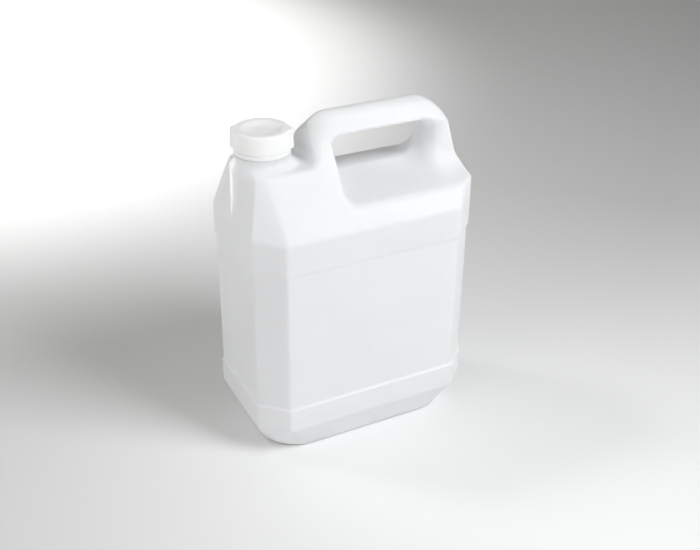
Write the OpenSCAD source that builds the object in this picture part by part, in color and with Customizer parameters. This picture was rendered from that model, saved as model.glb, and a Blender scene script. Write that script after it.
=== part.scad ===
// Plastic jerrycan: a blow-moulded can with a built-in handle, and its screw cap.
// X runs along the can with the neck at -X, Y across it, Z up. The origin lies under the middle of the foot.
// All sizes are in millimetres and all angles in degrees.

/* [Can] */
// Length over the end walls
body_l = 201; // [190:1:235]
// Depth over the long walls
body_d = 123; // [115:1:145]
// Height of the shoulder edge, where the roof starts
shoulder_z = 205.6; // [195:0.1:245]
// Length that each corner facet takes from a long wall
corner_l = 21.5; // [16:0.5:26]
// Length that each corner facet takes from an end wall
corner_d = 20.5; // [15:0.5:25]
// Thickness of the moulded wall
wall = 1.2; // [1:0.1:2.5]

/* [Foot] */
// How far the foot stands in from the walls
foot_inset = 12.8; // [8:0.2:16]
// Height of the sloping band above the foot
foot_h = 29.2; // [20:0.2:36]
// Radius of the foot's corners on the floor
foot_corner = 35; // [25:1:40]
// Width of the flat rim that the can stands on
foot_rim = 9; // [6:0.5:14]
// Height that the underside is pushed up inside that rim
push_up = 3.5; // [2:0.5:6]

/* [Panel] */
// Height of the panel's lower edge
panel_low = 49.7; // [42:0.1:70]
// Distance from the panel's upper edge to the shoulder
panel_drop = 26.2; // [18:0.2:40]
// Depth of the sunk panel
panel_depth = 1.3; // [0.8:0.1:2.5]
// Height of the ramp at the panel's edges
panel_ramp = 2.5; // [1.5:0.5:5]

/* [Roof] */
// Angle of the roof above the level
roof_angle = 55.5; // [50:0.5:60]
// Radius of the ridge, which is the top of the handle
ridge_r = 11.9; // [8:0.1:14]
// Radius of the shoulder edge
shoulder_r = 4; // [2:0.5:6]
// How far the neck end leans in by the height of the neck's platform
end_lean = 11.5; // [9:0.5:13]
// Half of the neck end's width at that height
end_half = 27; // [25:0.5:29]

/* [Deck] */
// Height of the deck's crest above the shoulder
deck_rise = 27.9; // [22:0.1:32]
// Angle at which the deck falls to both sides
deck_angle = 14.5; // [10:0.5:18]

/* [Handle] */
// Gap between the neck's axis and the front leg
leg_gap = 36; // [34:0.5:43]
// Thickness of the front leg at the roof
front_leg = 15.4; // [12:0.2:20]
// Height of the grip bar at its middle
bar_h = 19.5; // [16:0.5:24]
// Thickness of the rear leg at its top
rear_leg = 17.5; // [14:0.5:24]
// Half of the rear leg's width
rear_half = 18.5; // [15:0.5:22]
// Lean of the rear leg's outer side from upright
rear_lean = 13.5; // [8:0.5:18]
// Ledge between the rear leg's foot and the end wall
rear_ledge = 3; // [2:0.5:8]
// How far the window opens out on each side from its middle to the legs' faces
window_flare = 8.2; // [5:0.2:11]
// Radius of the window's rear lower corner
window_r = 25.5; // [18:0.5:28]

/* [Neck] */
// Distance from the neck's axis to the end wall's outside
neck_inset = 28.8; // [27.5:0.1:31]
// Radius of the neck's wall under the thread
neck_r = 19.8; // [17:0.1:22]
// Thickness of the neck's wall
neck_wall = 1.8; // [1.4:0.1:2.6]
// Height of the thread on the neck's wall
thread_h = 1.1; // [0.8:0.1:1.4]
// Gap between the thread and the wall that it runs in
thread_gap = 0.4; // [0.3:0.1:0.6]
// Height of the collar from the platform to the tamper ring
collar_h = 10; // [8:0.2:14]
// Height of the neck's rim above the collar
rim_h = 13.8; // [12:0.2:18]
// How far the parting line's fin leans in from the end wall up to the collar
fin_lean = 1; // [0.5:0.1:2]

/* [Cap] */
// Thickness of the cap's wall
cap_wall = 1.5; // [1.2:0.1:2.2]
// Thickness of the cap's top under the dish
cap_top = 1.6; // [1.2:0.1:2.4]
// Depth of the dish in the cap's top
dish_h = 2.5; // [1.5:0.1:3.5]
// Radius of the dish's floor
dish_r = 15; // [12:0.5:16]
// How far each grip lug stands out
lug_h = 1.6; // [1:0.1:2.5]
// Width of a grip lug at its root
lug_w = 8.2; // [5:0.2:12]
// Angle of the first grip lug about the neck's axis
lug_turn = -28; // [-90:1:90]
// Height of the tamper ring
ring_h = 3.7; // [3:0.1:5]
// Gap between the tamper ring and the cap
ring_gap = 0.5; // [0.3:0.1:1]
// Thickness of the sealing wad
wad_t = 1.2; // [0.8:0.1:2]

/* [Hidden] */
$fn = 96;
// Step of the arcs in the outlines, and a length that overshoots any face that is cut
arc_step = 12;
over = 20;
// Overlap that keeps two cuts from sharing a face
lap = 0.3;
reach = 3 * body_l;
half_l = body_l / 2;
half_d = body_d / 2;

// Edge radii of the moulding
foot_r = 5;
band_r = 12;
ramp_r = 2;
end_r = 4;
cove_r = 8;
// The corner facets are a little crisper than the walls, and so are the foot's corners
facet_ease = 0.7;
foot_ease = 0.85;
// Angle from the X axis at which a corner facet faces
facet_turn = atan2(corner_l, corner_d);

// Heights of the roof
panel_high = shoulder_z - panel_drop;
apex_z = shoulder_z + half_d * tan(roof_angle);
ridge_z = apex_z - ridge_r * (1 / cos(roof_angle) - 1);
crest_z = shoulder_z + deck_rise;

// Radii of the neck and of what turns on it
thread_r = neck_r + thread_h;
bore_r = neck_r - neck_wall;
skirt_r = thread_r + thread_gap;
cap_r = skirt_r + cap_wall;
lip_r = neck_r + thread_gap;
collar_r = cap_r;
root_cove = 3;
root_r = collar_r + root_cove;

// The platform lies where the roof is just wider than the neck's root
platform_rim = 4.1;
platform_half = root_r + platform_rim;
platform_z = shoulder_z + (half_d - platform_half) * tan(roof_angle);
loft_spare = 1;
neck_x = neck_inset - half_l;

// The neck's root runs down as a column, and stands out of the leaning end above this height
column_x = neck_x - root_r;
column_z = shoulder_z + (half_l + column_x) / end_lean * (platform_z - shoulder_z);

// Heights on the neck
ledge_z = platform_z + collar_h;
rim_z = ledge_z + rim_h;
ring_top = ledge_z + ring_h;
skirt_z = ring_top + ring_gap;
seat_z = rim_z + wad_t;
cap_z = seat_z + cap_top + dish_h;

// Places of the handle
leg_x = neck_x + leg_gap;
window_x = leg_x + front_leg;
bar_z = ridge_z - bar_h;
foot_x = half_l - rear_ledge;
rear_x = foot_x - (ridge_z - crest_z) * tan(rear_lean);
inner_x = rear_x - rear_leg + (ridge_z - bar_z) * tan(rear_lean);
corner_top_r = 22;
leg_top_r = 21;

function unit(v) = v / norm(v);
function turned(list) = [for (i = [len(list) - 1:-1:0]) [-list[i][0], list[i][1], list[i][2]]];

// Arc of radius b[2] that rounds the corner b between its neighbours a and c
function corner_arc(a, b, c) =
    let (
        u = unit([a[0] - b[0], a[1] - b[1]]),
        v = unit([c[0] - b[0], c[1] - b[1]]),
        half = acos(u * v) / 2,
        middle = [b[0], b[1]] + unit(u + v) * b[2] / sin(half),
        from = [b[0], b[1]] + u * b[2] / tan(half) - middle,
        side = sign(u[0] * v[1] - u[1] * v[0]),
        sweep = -side * (180 - 2 * half),
        start = atan2(from[1], from[0]),
        steps = max(2, ceil(abs(sweep) / arc_step))
    )
    [for (i = [0:steps]) middle + b[2] * [cos(start + sweep * i / steps), sin(start + sweep * i / steps)]];

// Outline through corners [x, y, radius], with each corner rounded by its radius
function rounded(list) = [
    for (i = [0:len(list) - 1])
        let (b = list[i])
        each b[2] > 0
            ? corner_arc(list[(i + len(list) - 1) % len(list)], b, list[(i + 1) % len(list)])
            : [[b[0], b[1]]]
];

// Half of the foot's width on the floor, between the two lines that touch it at an angle from the X axis
function foot_half(turn) =
    foot_corner
    + (half_l - foot_inset - foot_corner) * cos(turn)
    + (half_d - foot_inset - foot_corner) * sin(turn);

// Foot, band and sunk panel of a wall that stands at half the width of a slab, with its radii times ease
function flank(half, turn, ease = 1) = [
    [foot_half(turn), 0, foot_r * ease],
    [half, foot_h, band_r * ease],
    [half, panel_low, ramp_r * ease],
    [half - panel_depth, panel_low + panel_ramp, ramp_r * ease],
    [half - panel_depth, panel_high - panel_ramp, ramp_r * ease],
    [half, panel_high, ramp_r * ease]
];

// Outline seen along the can: both long walls and the roof up to the ridge
module roof_outline() {
    side = concat(flank(half_d, 90), [[half_d, shoulder_z, shoulder_r]]);
    polygon(rounded(concat(side, [[0, apex_z, ridge_r]], turned(side))));
}

// Outline seen across the can: both end walls, the platform, the handle and the rear ledge
module side_outline() {
    side = flank(half_l, 0);
    handle = [
        [half_l, crest_z, end_r],
        [foot_x, crest_z, rear_ledge / 2],
        [rear_x, ridge_z, corner_top_r],
        [leg_x, ridge_z, leg_top_r],
        [leg_x, platform_z, cove_r],
        [-half_l, platform_z, end_r]
    ];
    polygon(rounded(concat(side, handle, turned(side))));
}

// Outline of a slab between two opposite corner facets
module corner_outline() {
    facet = norm([corner_l, corner_d]);
    half = (half_l * corner_d + (half_d - corner_d) * corner_l) / facet;
    side = concat(flank(half, facet_turn, facet_ease), [[half, apex_z, 0]]);
    polygon(rounded(concat(side, turned(side))));
}

// Outline of a slab that rounds the foot off at an angle, and that clears a corner of the plan above the foot
module foot_outline(turn, corner) {
    half = corner * [cos(turn), sin(turn)] + lap;
    side = [[foot_half(turn), 0, foot_r * foot_ease], [half, foot_h, 0], [half, apex_z, 0]];
    polygon(rounded(concat(side, turned(side))));
}

// Plan of the can, with its four corner facets
module plan() {
    quarter = [[half_l, half_d - corner_d], [half_l - corner_l, half_d]];
    polygon([
        for (p = quarter) p,
        for (p = [quarter[1], quarter[0]]) [-p[0], p[1]],
        for (p = quarter) -p,
        for (p = [quarter[1], quarter[0]]) [p[0], -p[1]]
    ]);
}

// Carries an outline in X and Z across the can
module across(length) {
    rotate([90, 0, 0]) linear_extrude(length, center = true) children();
}

// Plan of the neck end at the platform
module platform_plan() {
    edge = [corner_l - half_l, platform_half + loft_spare];
    side = [[end_lean - half_l, end_half], edge, [half_l, edge[1]]];
    polygon([for (p = side) p, for (i = [len(side) - 1:-1:0]) [side[i][0], -side[i][1]]]);
}

// What the loft from the octagon to the platform takes off the neck end
module neck_end_waste(inset) {
    slab = 2;
    difference() {
        translate([-reach, -reach / 2, shoulder_z])
            cube([reach + leg_x - over / 2, reach, platform_z - shoulder_z + slab / 2]);
        hull() {
            translate([0, 0, shoulder_z - slab])
                linear_extrude(slab) offset(delta = lap - inset) plan();
            translate([0, 0, platform_z]) linear_extrude(slab) offset(delta = -inset) platform_plan();
        }
    }
}

// Lifts one side of the deck's slope to the crest, where children are cut in X and Z
module down_the_deck(side, from) {
    translate([0, 0, crest_z]) rotate([-side * deck_angle, 0, 0])
        translate([0, side * (from + reach / 2), 0]) across(reach) children();
}

// The window through the handle, the deck on both sides of it and the ledge behind the rear leg
module window_cut(grow) {
    front = window_x + window_flare;
    size = [inner_x - front, bar_z - crest_z];
    middle = [(front + inner_x) / 2, (crest_z + bar_z) / 2];
    half = size / 2;
    flare = [1 + window_flare / half[0], 1 + rear_half * tan(deck_angle) / half[1]];
    top_r = 7;
    low_r = 9;
    rear_r = min(window_r, size[1] - top_r);
    for (side = [-1, 1]) {
        translate([middle[0], 0, middle[1]]) rotate([90 * side, 0, 0])
            linear_extrude(rear_half, scale = flare, slices = 1, segments = 1)
            offset(delta = grow) scale([1, side])
                polygon(rounded([
                    [-half[0], -half[1], low_r],
                    [half[0], -half[1], rear_r],
                    [half[0], half[1], top_r],
                    [-half[0], half[1], top_r]
                ]));
        intersection() {
            down_the_deck(side, 0) offset(delta = grow) polygon(rounded([
                [window_x, 0, low_r],
                [reach, 0, 0],
                [reach, reach, 0],
                [window_x, reach, 0]
            ]));
            translate([-reach, side > 0 ? rear_half - grow : grow - rear_half - reach, 0])
                cube([3 * reach, reach, reach]);
        }
        down_the_deck(side, 0) offset(delta = grow) translate([foot_x + lap, 0]) square([reach, over]);
    }
}

// The hollow under the can, inside the flat rim of the foot
module push_up_cut(grow) {
    x = half_l - foot_inset - foot_rim;
    y = half_d - foot_inset - foot_rim;
    r = foot_corner - foot_rim;
    translate([0, 0, -over]) linear_extrude(over + push_up + grow) offset(delta = grow)
        polygon(rounded([[x, y, r], [-x, y, r], [-x, -y, r], [x, -y, r]]));
}

// The can's form without the neck, drawn in by inset on every side
module can_form(inset) {
    difference() {
        intersection() {
            rotate([0, 0, 90]) across(reach) offset(delta = -inset) roof_outline();
            across(reach) offset(delta = -inset) side_outline();
            for_corners(inset);
        }
        neck_end_waste(inset);
        window_cut(inset);
        push_up_cut(inset);
    }
}

// Both slabs between the corner facets, and those on each side of them that round the foot off
module for_corners(inset) {
    foot_slabs = [
        [facet_turn / 2, [half_l, half_d - corner_d]],
        [45 + facet_turn / 2, [half_l - corner_l, half_d]]
    ];
    intersection_for (side = [-1, 1]) intersection() {
        rotate([0, 0, side * facet_turn]) across(reach) offset(delta = -inset) corner_outline();
        intersection_for (slab = foot_slabs) rotate([0, 0, side * slab[0]]) across(reach)
            offset(delta = -inset) foot_outline(slab[0], slab[1]);
    }
}

// Outside of the neck: column, collar with the ledge, wall and the bead that holds the tamper ring
module neck_outside() {
    bead_z = ring_top - lap;
    edge = 0.8;
    cove = root_cove - 2 * lap;
    translate([neck_x, 0, 0]) rotate_extrude() polygon(rounded([
        [0, column_z - 2 * wall, 0],
        [root_r, column_z - 2 * wall, 0],
        [root_r, platform_z, 0],
        [collar_r, platform_z, cove],
        [collar_r, ledge_z, edge],
        [neck_r, ledge_z, 0],
        [neck_r, bead_z - 2 * thread_h, 0],
        [thread_r, bead_z - thread_h, 0],
        [thread_r, bead_z - edge, 0],
        [neck_r, bead_z, 0],
        [neck_r, rim_z, edge],
        [0, rim_z, 0]
    ]));
}

// Inside of the neck: wide in the column and the collar, then the bore
module neck_inside() {
    translate([neck_x, 0, 0]) rotate_extrude() polygon([
        [0, column_z],
        [root_r - wall, column_z],
        [root_r - wall, platform_z - 2 * wall],
        [collar_r - wall, platform_z + root_cove / 2],
        [collar_r - wall, ledge_z - wall - neck_wall],
        [bore_r, ledge_z - wall],
        [bore_r, rim_z + over],
        [0, rim_z + over]
    ]);
}

// Fin of the parting line on the neck end, which rises upright from the shoulder to the collar
module parting_fin() {
    width = 1.2;
    low = shoulder_z + 3;
    high = ledge_z - 2;
    sunk = wall / 2;
    across(width) polygon([
        [wall - half_l, low],
        [-half_l, low + shoulder_r],
        [fin_lean - half_l, high],
        [neck_x - collar_r + sunk, high],
        [neck_x - collar_r + sunk, platform_z + root_cove],
        [column_x + sunk, platform_z],
        [column_x + sunk, column_z]
    ]);
}

module can_body() {
    color([0.93, 0.94, 0.95]) difference() {
        union() {
            can_form(0);
            neck_outside();
            parting_fin();
        }
        can_form(wall);
        neck_inside();
    }
}

module tamper_ring() {
    lip_h = 1.2;
    edge = 0.4;
    color([0.96, 0.96, 0.95]) translate([neck_x, 0, 0]) rotate_extrude() polygon([
        [lip_r, ledge_z],
        [cap_r - edge, ledge_z],
        [cap_r, ledge_z + edge],
        [cap_r, ring_top],
        [skirt_r, ring_top],
        [skirt_r, ledge_z + 1.5 * lip_h],
        [lip_r, ledge_z + lip_h]
    ]);
}

// The cap's round outside, let out by grow for the lugs
module cap_outside(grow) {
    draft = 0.6;
    edge = 1.6;
    rotate_extrude() polygon(rounded([
        [0, skirt_z, 0],
        [cap_r + grow, skirt_z, 0],
        [cap_r + grow - draft, cap_z, edge],
        [0, cap_z, 0]
    ]));
}

module screw_cap() {
    dish_top = dish_h + lap;
    dish_taper = 0.6;
    color([0.97, 0.97, 0.96]) translate([neck_x, 0, 0]) difference() {
        union() {
            cap_outside(0);
            for (turn = [0, 180]) intersection() {
                cap_outside(lug_h);
                rotate([0, 0, lug_turn + turn]) translate([0, 0, skirt_z]) linear_extrude(cap_z - skirt_z)
                    polygon([
                        [skirt_r, -lug_w / 2],
                        [cap_r + lug_h, -lug_w / 4],
                        [cap_r + lug_h, lug_w / 4],
                        [skirt_r, lug_w / 2]
                    ]);
            }
        }
        translate([0, 0, skirt_z - over]) cylinder(r = skirt_r, h = seat_z - skirt_z + over);
        translate([0, 0, cap_z - dish_h])
            cylinder(r1 = dish_r, r2 = dish_r + dish_taper * dish_top, h = dish_top);
    }
}

module sealing_wad() {
    color([0.88, 0.88, 0.86]) translate([neck_x, 0, rim_z]) cylinder(r = skirt_r - thread_gap, h = wad_t);
}

can_body();
tamper_ring();
screw_cap();
sealing_wad();
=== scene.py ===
"""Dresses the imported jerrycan: a soft-edged moulded can with a threaded neck, its cap, tamper ring and wad.

All lengths are in metres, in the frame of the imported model: X along the can with the neck at -X, Y across it, Z up.
"""

import math

import bpy
import numpy as np
from mathutils import Matrix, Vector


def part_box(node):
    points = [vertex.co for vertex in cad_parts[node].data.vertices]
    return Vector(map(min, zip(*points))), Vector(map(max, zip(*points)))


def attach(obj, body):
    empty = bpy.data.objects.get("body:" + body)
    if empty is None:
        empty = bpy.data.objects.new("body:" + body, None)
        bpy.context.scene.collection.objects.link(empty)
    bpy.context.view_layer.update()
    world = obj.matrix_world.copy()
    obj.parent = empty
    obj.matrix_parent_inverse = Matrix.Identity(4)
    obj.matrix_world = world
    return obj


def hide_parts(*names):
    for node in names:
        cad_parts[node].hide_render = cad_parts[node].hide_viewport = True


bl_info = {
    "name": "Moulded jerrycan",
    "version": (1, 0, 0),
    "blender": (4, 5, 0),
    "location": "View3D > Sidebar > Jerrycan",
    "description": "Builds the looks of a plastic jerrycan round its packed solids",
    "category": "Add Mesh",
}

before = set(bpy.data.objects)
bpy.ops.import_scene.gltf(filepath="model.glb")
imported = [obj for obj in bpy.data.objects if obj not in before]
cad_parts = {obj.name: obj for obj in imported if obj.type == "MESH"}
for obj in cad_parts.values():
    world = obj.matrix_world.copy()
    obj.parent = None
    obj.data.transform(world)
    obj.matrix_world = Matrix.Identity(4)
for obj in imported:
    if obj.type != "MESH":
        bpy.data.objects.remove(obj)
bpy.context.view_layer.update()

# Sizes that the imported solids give
CAN_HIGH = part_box("can_body")[1]
RING_LOW, RING_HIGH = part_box("tamper_ring")
CAP_LOW, CAP_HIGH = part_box("screw_cap")
WAD_LOW, WAD_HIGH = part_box("sealing_wad")
HALF_L = CAN_HIGH.x
HALF_D = CAN_HIGH.y
RIDGE_Z = CAN_HIGH.z
NECK_X = (WAD_LOW.x + WAD_HIGH.x) / 2
LEDGE_Z = RING_LOW.z
RING_TOP = RING_HIGH.z
SKIRT_Z = CAP_LOW.z
CAP_Z = CAP_HIGH.z
RIM_Z = WAD_LOW.z
SEAT_Z = WAD_HIGH.z
CAP_R = (RING_HIGH.x - RING_LOW.x) / 2
WAD_R = (WAD_HIGH.x - WAD_LOW.x) / 2

# Sizes of the can, as in the part's source
SHOULDER_Z = 0.2056
CORNER_L = 0.0215
CORNER_D = 0.0205
FACET_NORM = math.hypot(CORNER_L, CORNER_D)
FACET_AWAY = (HALF_L * CORNER_D + (HALF_D - CORNER_D) * CORNER_L) / FACET_NORM
FOOT_INSET = 0.0128
FOOT_H = 0.0292
FOOT_CORNER = 0.035
FOOT_RIM = 0.009
PUSH_UP = 0.0035
PANEL_LOW = 0.0497
PANEL_HIGH = SHOULDER_Z - 0.0262
PANEL_RAMP = 0.0025
ROOF_ANGLE = math.radians(55.5)
RIDGE_R = 0.0119
CREST_Z = SHOULDER_Z + 0.0279
DECK_ANGLE = math.radians(14.5)
END_LEAN = 0.0115
END_HALF = 0.027

# Sizes of the handle, as in the part's source
LEG_X = NECK_X + 0.036
WINDOW_X = LEG_X + 0.0154
BAR_Z = RIDGE_Z - 0.0195
FOOT_X = HALF_L - 0.003
REAR_LEAN = math.radians(13.5)
REAR_HALF = 0.0185
REAR_LEG = 0.0175
INNER_X = FOOT_X - (BAR_Z - CREST_Z) * math.tan(REAR_LEAN) - REAR_LEG
WINDOW_FLARE = 0.0082

# Sizes of the neck and the cap, as in the part's source
NECK_R = 0.0198
NECK_WALL = 0.0018
BORE_R = NECK_R - NECK_WALL
THREAD_GAP = 0.0004
SKIRT_R = WAD_R + THREAD_GAP
LIP_R = NECK_R + THREAD_GAP
COLLAR_R = CAP_R
ROOT_R = COLLAR_R + 0.003
PLATFORM_Z = LEDGE_Z - 0.010
PLATFORM_HALF = ROOT_R + 0.0051
DISH_H = 0.0025
BEAD_Z = RING_TOP - 0.0003
THREAD_Z = BEAD_Z + 0.0006

# Soft edges of the can: each gain is added to its radius over the stretch of its span
EAVE_R = 0.0012
CORNER_R = 0.0013
CORNER_GAIN, CORNER_SPAN = 0.0026, (0.203, 0.222)
END_R = 0.0008
FACET_BLEND = 0.003
CREST_R = 0.004
NOTCH_R = 0.008
NOTCH_EDGE_R = 0.0022
LEG_GAIN, LEG_SPAN = 0.0028, (0.252, 0.262)
BEND_GAIN, BEND_SPAN = 0.016, (0.262, 0.284)
REAR_BEND_R = 0.022
REAR_ROOT_R = 0.009
REAR_EDGE_R = 0.0003
REAR_GAIN, REAR_SPAN = 0.005, (-0.018, -0.004)
WINDOW_EDGE_R = 0.0028
COLUMN_FOOT_R = 0.004
COLUMN_GAIN, COLUMN_SPAN = 0.0035, (PLATFORM_Z + 0.006, PLATFORM_Z - 0.004)
COLUMN_ROOT_R = 0.0046

# Curves of the handle's window: a gain and its span as above
FLARE_POWER = 1.6
FOOT_GAIN, FOOT_SPAN = 0.002, (0.262, 0.238)
NOSE = 0.011
NOSE_SCALE = 0.014
FRONT_ROOT_R = 0.0095
FILLET_R = 0.012
FILLET_X = INNER_X + 0.018
FILLET_GAIN, FILLET_SPAN = 0.012, (0.0, 0.022)
BAR_HALF = 0.0171
BAR_CROWN = 0.0038
WINDOW_R = 0.0085

# Fin on the parting line: lean of its edge, half its thickness, depth of its root and least height
FIN_LEAN = 0.001
FIN_HALF = 0.0004
FIN_ROOT = 0.0006
FIN_LEAST = 0.0008

# Where the field's mesh meets the walls below it and the neck above it
JOIN_Z = 0.192
NECK_CUT = PLATFORM_Z + 0.0062
NECK_FOOT = NECK_CUT + 0.0008

# Meshes of the can's two sides: step of the field's net, points in a bend of the walls' profile and its longest
# stretch, points in an upright edge, and points along an end wall, a facet, a long wall and a facet
OUTER_MESH = {"step": 0.0013, "bend": 6, "stretch": 0.005, "edge": 5, "along": (24, 10, 48, 10)}
INNER_MESH = {"step": 0.0030, "bend": 3, "stretch": 0.010, "edge": 3, "along": (12, 5, 24, 5)}
RELAX_ROUNDS = 6
SWELL_SHARE = (0.4, 0.0, 1.0, 0.0)
STRAIGHT = 1.56
AXIS_R = 0.0005
SHARP_ANGLE = math.radians(40.0)
TURN = 2.0 * math.pi


# Distances


def soft_max(a, b, r):
    """Larger of two distances, with the edge where both are zero rounded: the length of (a + r, b + r), less r."""
    u = np.maximum(a + r, 0.0)
    v = np.maximum(b + r, 0.0)
    return np.hypot(u, v) - r + np.minimum(np.maximum(a, b) + r, 0.0)


def soft_min(a, b, r):
    """Smaller of two distances, with a cove of radius r where both are zero: soft_max of the negatives, negated."""
    return -soft_max(-a, -b, r)


def blend_max(a, b, width):
    """Larger of two distances, for edges of flat angle: max + (width - |a - b|)2 / 4 width where they are near."""
    near = np.maximum(width - np.abs(a - b), 0.0)
    return np.maximum(a, b) + near**2 / (4.0 * width)


def ease(low, high, value):
    """Smooth step from 0 at low to 1 at high: 3t2 - 2t3."""
    t = np.clip((value - low) / (high - low), 0.0, 1.0)
    return t * t * (3.0 - 2.0 * t)


def gable(y, z):
    """Distance from the roof: two slopes, and round the ridge a circle of RIDGE_R that both slopes touch."""
    side = np.abs(y)
    rise = z - (RIDGE_Z - RIDGE_R)
    sine, cosine = math.sin(ROOF_ANGLE), math.cos(ROOF_ANGLE)
    on_ridge = rise * sine > side * cosine
    return np.where(on_ridge, np.hypot(side, rise), side * sine + rise * cosine) - RIDGE_R


def facet_distance(x, y):
    """Distance from the four corner facets: (CORNER_D |x| + CORNER_L |y|) over their norm, less the facet's own."""
    return (CORNER_D * np.abs(x) + CORNER_L * np.abs(y)) / FACET_NORM - FACET_AWAY


def walls(x, y, z):
    """Distance from the upright walls and the roof: long walls with the gable, then end walls with the facets."""
    length = soft_max(np.abs(y) - HALF_D, gable(y, z), EAVE_R)
    ends = soft_max(np.abs(x) - HALF_L, facet_distance(x, y), CORNER_R)
    return soft_max(length, ends, CORNER_R + CORNER_GAIN * ease(*CORNER_SPAN, z))


def plane(points, x, y, z):
    """Distance from the plane through three points, positive on the side away from the can's axis."""
    a, b, c = (np.array(p) for p in points)
    normal = np.cross(b - a, c - a)
    normal /= np.linalg.norm(normal) * (1.0 if normal @ (a * (1.0, 1.0, 0.0)) > 0.0 else -1.0)
    return (x - a[0]) * normal[0] + (y - a[1]) * normal[1] + (z - a[2]) * normal[2]


def neck_end(x, y, z):
    """Distance from the neck end: its plane that leans in to the platform, and on each side of it two triangles that
    take the corner facet over to the platform's edge."""
    side = np.abs(y)
    low = (-HALF_L, HALF_D - CORNER_D, SHOULDER_Z)
    corner = (CORNER_L - HALF_L, HALF_D, SHOULDER_Z)
    high = (END_LEAN - HALF_L, END_HALF, PLATFORM_Z)
    edge = (CORNER_L - HALF_L, PLATFORM_HALF, PLATFORM_Z)
    end = plane((low, (-HALF_L, 0.0, SHOULDER_Z), high), x, side, z)
    lower = plane((low, corner, high), x, side, z)
    upper = plane((corner, edge, high), x, side, z)
    return soft_max(end, blend_max(lower, upper, FACET_BLEND), END_R)


def deck_above(y, z):
    """Height above the deck, which falls from its rounded crest to both sides."""
    fall = math.tan(DECK_ANGLE) * (np.hypot(y, CREST_R) - CREST_R)
    return (z - CREST_Z + fall) * math.cos(DECK_ANGLE)


def open_space(x, y, z):
    """Distance from the space round the rear leg and through the handle, negative inside it: behind the front leg,
    above the deck, below the bar and outside the rear leg's D-shaped section."""
    side = np.abs(y)
    share = np.minimum(side / REAR_HALF, 1.0)
    above = deck_above(y, z)
    front = WINDOW_X + WINDOW_FLARE * (1.0 - share**FLARE_POWER) - x
    half = REAR_HALF + FOOT_GAIN * ease(*FOOT_SPAN, z)
    section = np.hypot(np.minimum(x - INNER_X - NOSE, 0.0) / NOSE, side / half) - 1.0
    rear = -NOSE_SCALE * section
    fillet = FILLET_R + FILLET_GAIN * ease(*FILLET_SPAN, FILLET_X - x)
    bar = z - BAR_Z - BAR_CROWN * (side / BAR_HALF) ** 2
    legs = np.maximum(soft_max(front, -above, FRONT_ROOT_R), soft_max(rear, -above, fillet))
    return soft_max(legs, bar, WINDOW_R)


def can_field(points):
    """Distance from the can's skin above JOIN_Z: walls and neck end, less the notch over the platform, the space
    behind the handle and the handle's window, plus the neck's column with a cove at its root."""
    x, y, z = points[..., 0], points[..., 1], points[..., 2]
    field = soft_max(walls(x, y, z), neck_end(x, y, z), END_R)
    notch = soft_max(x - LEG_X, PLATFORM_Z - z, NOTCH_R)
    leg_edge = NOTCH_EDGE_R + LEG_GAIN * ease(*LEG_SPAN, z) + BEND_GAIN * ease(*BEND_SPAN, z)
    field = soft_max(field, -notch, leg_edge)
    lean = (x - FOOT_X) * math.cos(REAR_LEAN) + (z - CREST_Z) * math.sin(REAR_LEAN)
    behind = soft_max(-soft_max(lean, z - RIDGE_Z, REAR_BEND_R), -deck_above(y, z), REAR_ROOT_R)
    field = soft_max(field, -behind, REAR_EDGE_R + REAR_GAIN * ease(*REAR_SPAN, lean))
    field = soft_max(field, -open_space(x, y, z), WINDOW_EDGE_R)
    column = np.hypot(x - NECK_X, y) - COLLAR_R - COLUMN_GAIN * ease(*COLUMN_SPAN, z)
    return soft_min(field, soft_max(column, SHOULDER_Z - z, COLUMN_FOOT_R), COLUMN_ROOT_R)


# Meshes


def surface_net(values, low, step):
    """Net of the zero surface of values on a grid: a point for each cell that it crosses, at the mean of the
    crossings of the cell's edges, and a quad round each grid edge whose ends differ in sign."""
    cells = np.array(values.shape) - 1
    total = np.zeros((*cells, 3))
    count = np.zeros(cells)
    crossed = []
    for axis in range(3):
        first, second = (axis + 1) % 3, (axis + 2) % 3
        start = np.take(values, range(cells[axis]), axis)
        stop = np.take(values, range(1, cells[axis] + 1), axis)
        cross = (start < 0.0) != (stop < 0.0)
        share = np.where(cross, start / np.where(cross, start - stop, 1.0), 0.0)
        crossed.append((cross, start < 0.0))
        for i in (0, 1):
            for j in (0, 1):
                part = [slice(None)] * 3
                part[first] = slice(i, i + cells[first])
                part[second] = slice(j, j + cells[second])
                here = cross[tuple(part)]
                count += here
                total[..., axis] += share[tuple(part)]
                total[..., first] += i * here
                total[..., second] += j * here
    active = count > 0
    number = np.full(cells, -1)
    number[active] = np.arange(active.sum())
    where = np.argwhere(active)
    points = low + step * (where + total[active] / count[active][:, None])
    quads = []
    for axis, (cross, rising) in enumerate(crossed):
        first, second = (axis + 1) % 3, (axis + 2) % 3
        edge = np.argwhere(cross)
        keep = np.ones(len(edge), bool)
        for other in (first, second):
            keep &= (edge[:, other] > 0) & (edge[:, other] < cells[other])
        edge = edge[keep]
        ring = []
        for i, j in ((1, 1), (0, 1), (0, 0), (1, 0)):
            cell = edge.copy()
            cell[:, first] -= i
            cell[:, second] -= j
            ring.append(number[tuple(cell.T)])
        quad = np.stack(ring, 1)
        outward = rising[tuple(edge.T)]
        quads.append(np.where(outward[:, None], quad, quad[:, ::-1]))
    return points, np.concatenate(quads), where


def slope_of(field, points, reach=0.0001):
    """Gradient of a field by central differences: (f(p + s) - f(p - s)) / 2s along each axis."""
    shift = reach * np.eye(3)
    return np.stack([(field(points + s) - field(points - s)) / (2.0 * reach) for s in shift], -1)


def settle(field, points):
    """Moves points along the gradient to where the field is zero: p - f g / |g|2."""
    slope = slope_of(field, points)
    size = np.maximum((slope**2).sum(-1), 0.05)
    return points - (field(points) / size)[:, None] * slope


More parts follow.
